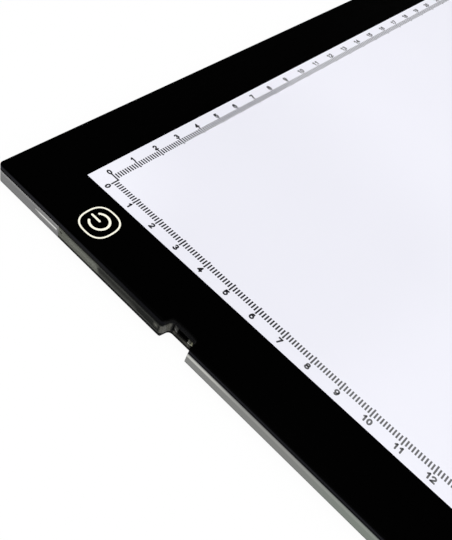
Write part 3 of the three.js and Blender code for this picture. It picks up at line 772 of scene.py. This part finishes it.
# %% Finish a piece
def make_piece(name, mesh, finish):
    """Adds a mesh to the pad: it rides on the body and wears its finish."""
    piece = bpy.data.objects.new(name, mesh)
    scene.collection.objects.link(piece)
    mesh.materials.clear()
    mesh.materials.append(finish.material)
    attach(piece, "root")
    print(f"{name}: {len(mesh.vertices)} vertices, {len(mesh.polygons)} faces")


def mesh_of(body, name):
    """Closes a mesh in progress, with every face turned outwards."""
    bmesh.ops.recalc_face_normals(body, faces=body.faces)
    mesh = bpy.data.meshes.new(name)
    body.to_mesh(mesh)
    body.free()
    return mesh


print("new pieces ride on the body called root")

# %% [markdown]
# ## Ink
# The print is black at the common zero. Along both rulers it turns to a dark grey after
# some nine centimetres, as the picture shows it. A second ink for the far marks would
# leave a step between two lines, so a ramp along each ruler blends the two tones.

# %% Ruler ink
ink_black, ink_worn, ink_grey = (0.002, 0.002, 0.005), (0.008, 0.008, 0.014), (0.125, 0.125, 0.130)
rear_greying, left_greying = (-72, -52), (42, 4)
ink = Finish("ruler ink", {"IOR": 1.5, "Specular IOR Level": 0.3})
x, y, _ = ink.place()
ink_body = ink.grain(0.25, 3)
greying = ink.ramp(x, *rear_greying) + ink.ramp(y, *left_greying)
ink.set({
    "Base Color": ink.coats(ink_black, (ink_body, ink_worn), (greying, ink_grey)),
    "Roughness": 0.5 + ink_body * 0.2,
    "Normal": ink.relief(ink_body, 0.005, 0.4),
})
print(ink.material.name, "turns grey from x", rear_greying[0], "and y", left_greying[0])

# %% Print the lines
for name, centimetres, down_left in (
        ("ruler_lines_rear", rear_ruler_cm, False), ("ruler_lines_left", left_ruler_cm, True)):
    body = bmesh.new()
    for millimetre in range(centimetres * one_cm + 1):
        if millimetre == 0:
            # The rear ruler's first line reaches down to the left one's, to close the corner.
            further = 0 if down_left else left_start + rear_shift
            add_line(body, 0, -line_width / 2 - further, long_gap + long_length, down_left)
        elif millimetre % one_cm:
            add_line(body, millimetre, line_gap, line_gap + line_length, down_left)
        else:
            add_line(body, millimetre, long_gap, long_gap + long_length, down_left)
    make_piece(name, mesh_of(body, name), ink)

# %% [markdown]
# ## Strokes of ink
# Numbers and signs are drawn with strokes of even width, as a pen would. Blender's text
# object would give figures too, but its figures are too thin for such small print. So
# there are two kinds of stroke: an open one with round ends, and a closed ring.

# %% Points on an arc, and a closed band
def arc_points(centre, radius, start, end, steps):
    """Points on part of a circle, with the radius in millimetres and the angles in radians."""
    turn = (end - start) / steps
    return [centre + Vector((math.cos(start + turn * n), math.sin(start + turn * n))) * radius * mm
            for n in range(steps + 1)]


def add_closed_band(body, path, width):
    """A band of ink along a closed path: an inner and an outer wall with flat faces between."""
    count = len(path)
    rows = []
    for side, height in ((-1, ink_low), (1, ink_low), (1, ink_high), (-1, ink_high)):
        row = []
        for index, point in enumerate(path):
            along = (path[(index + 1) % count] - path[index - 1]).normalized()
            out = Vector((along.y, -along.x)) * width / 2 * side * mm
            row.append(body.verts.new((*(point + out), height)))
        rows.append(row)
    for first, second in zip(rows, rows[1:] + rows[:1]):
        for index in range(count):
            after = (index + 1) % count
            body.faces.new((first[index], first[after], second[after], second[index]))


print("a closed band has four rows of points")

# %% An open band
end_steps = 8


def add_open_band(body, path, width):
    """A band of ink along an open path, with round ends."""
    def rim(points):
        """One side of the band, and the round end that follows it."""
        edge = []
        for index, point in enumerate(points):
            before, after = points[max(index - 1, 0)], points[min(index + 1, len(points) - 1)]
            along = (after - before).normalized()
            edge.append(point + Vector((along.y, -along.x)) * width / 2 * mm)
        last = points[-1] - points[-2]
        heading = math.atan2(last.y, last.x)
        cap = arc_points(
            points[-1], width / 2, heading - math.pi / 2, heading + math.pi / 2, end_steps)
        return edge + cap[1:-1]
    add_slab(body, rim(path) + rim(path[::-1]))


print("round ends in", end_steps, "steps")

# %% [markdown]
# ## The numbers
# The centimetre numbers stand outside the lines, towards the border. On the left ruler
# they are turned a quarter, so that they read from the right side of the pad. Each figure
# is a few strokes and bows in a box one unit high, and the figure's height scales it. The
# nine is the six turned upside down. Ten meshes would do the same, but a table of strokes
# is short and easy to correct.

# %% The ten figures
pen_share, advance_share = 0.26, 0.8
bow_step = math.radians(20)


def bow(x, y, half_x, half_y, start, end):
    """Points on part of an ellipse, between two angles in degrees."""
    start, end = math.radians(start), math.radians(end)
    steps = math.ceil(abs(end - start) / bow_step)
    angles = [start + (end - start) * n / steps for n in range(steps + 1)]
    return [(x + half_x * math.cos(angle), y + half_y * math.sin(angle)) for angle in angles]


figure_shares = {
    "0": [bow(0, 0, 0.26, 0.4, 0, 360)],
    "1": [[(0.08, -0.4), (0.08, 0.4)], [(0.08, 0.4), (-0.16, 0.2)]],
    "2": [bow(0, 0.17, 0.26, 0.23, 165, -30) + [(-0.26, -0.4)], [(-0.26, -0.4), (0.27, -0.4)]],
    "3": [bow(0, 0.2, 0.23, 0.2, 150, -90), bow(0, -0.2, 0.27, 0.2, 90, -150)],
    "4": [[(0.12, -0.4), (0.12, 0.4)], [(0.12, 0.4), (-0.3, -0.18)],
          [(-0.3, -0.18), (0.3, -0.18)]],
    "5": [[(0.24, 0.4), (-0.18, 0.4)], [(-0.18, 0.4), (-0.22, 0.0)],
          bow(0, -0.13, 0.27, 0.27, 145, -150)],
    "6": [bow(0, -0.14, 0.27, 0.26, 0, 360), bow(0.02, -0.14, 0.29, 0.54, 60, 180)],
    "7": [[(-0.27, 0.4), (0.27, 0.4)], [(0.27, 0.4), (-0.08, -0.4)]],
    "8": [bow(0, 0.2, 0.22, 0.2, 0, 360), bow(0, -0.18, 0.27, 0.22, 0, 360)],
}
figure_shares["9"] = [[(-x, -y) for x, y in path] for path in figure_shares["6"]]
print("figures:", " ".join(sorted(figure_shares)))

# %% Print the numbers
weld = 0.0005 * mm


def stamp_number(body, number, along, down_left):
    """Adds one number, centred over its line, to the mesh in progress."""
    figures = str(number)
    out = left_number_centre if down_left else rear_number_centre
    centre = ruler_point(along, out, down_left)
    for index, figure in enumerate(figures):
        shift = (index - (len(figures) - 1) / 2) * advance_share
        for path in figure_shares[figure]:
            points = []
            for share_x, share_y in path:
                offset = Vector((share_x + shift, share_y))
                if down_left:
                    offset = Vector((offset.y, -offset.x))
                points.append(centre + offset * number_height * mm)
            if (points[0] - points[-1]).length < weld:
                add_closed_band(body, points[:-1], number_height * pen_share)
            else:
                add_open_band(body, points, number_height * pen_share)


for name, centimetres, down_left in (
        ("ruler_numbers_rear", rear_ruler_cm, False), ("ruler_numbers_left", left_ruler_cm, True)):
    body = bmesh.new()
    for number in range(centimetres + 1):
        stamp_number(body, number, number * one_cm, down_left)
    loose = [edge for edge in body.edges if len(edge.link_faces) != 2]
    print(name, "open edges:", len(loose))
    make_piece(name, mesh_of(body, name), ink)

# %% [markdown]
# ## The key's sign
# The touch key is marked by the common sign for power, an open ring with a bar, inside a
# rounded square. It is printed in cream. Each stroke is a band of even width along a
# path, as for the figures. Straight sides with four arcs would make the square too stiff:
# its sides bulge slightly, so its path is a curve between a circle and a square.

# %% Draw the key's sign
key_centre = Vector((-164.64, 88.39)) * mm
square_half, squareness, square_stroke = (5.6, 5.3), 2.6, 0.53
ring_centre = Vector((-164.47, 88.64)) * mm
ring_radius, ring_stroke, ring_gap = 3.05, 0.74, math.radians(41)
bar_shift, bar_low, bar_high, bar_stroke = 0.1, 0.08, 3.3, 0.7
square_steps, arc_steps = 96, 48


def soft_square_point(angle):
    """A point of a shape between a circle and a square, whose sides bulge slightly."""
    reach = [math.copysign(abs(part) ** (2 / squareness), part)
             for part in (math.cos(angle), math.sin(angle))]
    return key_centre + Vector([half * part for half, part in zip(square_half, reach)]) * mm


square_path = [soft_square_point(2 * math.pi * n / square_steps) for n in range(square_steps)]
top = math.pi / 2
sign = bmesh.new()
add_closed_band(sign, square_path, square_stroke)
add_open_band(sign, arc_points(ring_centre, ring_radius, top + ring_gap,
                               top + 2 * math.pi - ring_gap, arc_steps), ring_stroke)
bar_path = [ring_centre + Vector((bar_shift, height)) * mm for height in (bar_low, bar_high)]
add_open_band(sign, bar_path, bar_stroke)
print("key sign:", len(square_path), "steps round the square")

# %% Print it in cream
cream_dull, cream_bright = (0.80, 0.78, 0.66), (0.86, 0.84, 0.72)
cream_glow_dull, cream_glow_bright = (0.10, 0.098, 0.08), (0.14, 0.137, 0.11)
cream = Finish("cream key print, lit", {"Emission Strength": 1.0, "Specular IOR Level": 0.3})
cream_body = cream.grain(0.4, 3)
cream.set({
    "Base Color": cream.blend(cream_body, cream_dull, cream_bright),
    "Emission Color": cream.blend(cream_body, cream_glow_dull, cream_glow_bright),
    "Roughness": 0.4 + cream_body * 0.15,
})
make_piece("key_sign", mesh_of(sign, "key_sign"), cream)

# %% [markdown]
# ## Floor and background
# The pad lies in front of pure white. White from more light would bleach the pad itself,
# so the floor and the world simply show white to the camera, and to gloss and glass,
# while the light that falls on the pad stays at a plain level. A black flag hangs over
# such a shot so that a gloss black top stays black: here the world is dark straight
# above for mirrored rays alone.

# %% The world
room_light, flag_edge = 0.55, (0.08, 0.35)
white, flag_black, room = (1.0,) * 3, (0.008,) * 3, (room_light,) * 3
world = bpy.data.worlds.new("studio")
scene.world = world
world.use_nodes = True
studio = NodeSheet(world.node_tree)
rays = ("Is Camera Ray", "Is Glossy Ray", "Is Transmission Ray")
to_camera, to_gloss, to_glass = studio.node("LightPath", give=rays)
direction = studio.node("TexCoord", give="Generated")
_, _, rise = studio.node("SeparateXYZ", sockets={"Vector": direction}, give=("X", "Y", "Z"))
mirrored = studio.blend(studio.ramp(rise, *flag_edge), white, flag_black)
seen = studio.blend(to_gloss, room, mirrored)
seen = studio.blend(1 - (1 - to_camera) * (1 - to_glass), seen, white)
background = studio.node("Background", sockets={"Color": seen, "Strength": 1.0})
studio.node("OutputWorld", sockets={"Surface": background}, give=())
print("world: room light", room_light)

# %% The floor
floor_half, floor_white, floor_show = 3.0, (0.92, 0.92, 0.92), 0.95
floor_body = bmesh.new()
bmesh.ops.create_grid(floor_body, x_segments=1, y_segments=1, size=floor_half)
floor_mesh = bpy.data.meshes.new("floor")
floor_body.to_mesh(floor_mesh)
floor_body.free()
floor = bpy.data.objects.new("floor", floor_mesh)
scene.collection.objects.link(floor)
floor_material = bpy.data.materials.new("white floor")
floor_material.use_nodes = True
ground = NodeSheet(floor_material.node_tree)
to_camera, to_gloss, to_glass = ground.node("LightPath", give=rays)
shown = (1 - (1 - to_camera) * (1 - to_gloss) * (1 - to_glass)) * floor_show
lit = ground.node("BsdfDiffuse", sockets={"Color": floor_white})
shining = ground.node("Emission", sockets={"Color": white, "Strength": 1.0})
surface = ground.node("MixShader", sockets={0: shown, 1: lit, 2: shining})
ground.node("OutputMaterial", sockets={"Surface": surface}, give=())
floor_mesh.materials.append(floor_material)
print("floor:", 2 * floor_half, "m wide")

# %% [markdown]
# ## Two softboxes
# The room's light alone would leave the pad flat. A small strong lamp would give it hard
# shadows and a glare in the gloss, so two large square lamps stand well away from it: one
# in front and to the left, which shapes the sides, and one overhead.

# %% The lamps
key_place, key_size, key_power = (-0.7, -1.4, 1.1), 1.0, 13
overhead_place, overhead_size, overhead_power = (0.1, 0.1, 2.3), 1.2, 23


def softbox(name, place, size, power):
    """A square lamp that faces the middle of the pad."""
    lamp = bpy.data.lights.new(name, "AREA")
    lamp.shape, lamp.size, lamp.energy = "SQUARE", size, power
    holder = bpy.data.objects.new(name, lamp)
    holder.location = place
    holder.rotation_mode = "QUATERNION"
    holder.rotation_quaternion = (-Vector(place)).to_track_quat("-Z", "Y")
    scene.collection.objects.link(holder)


softbox("key_softbox", key_place, key_size, key_power)
softbox("overhead_softbox", overhead_place, overhead_size, overhead_power)
print("lamps:", [lamp.name for lamp in bpy.data.lights])
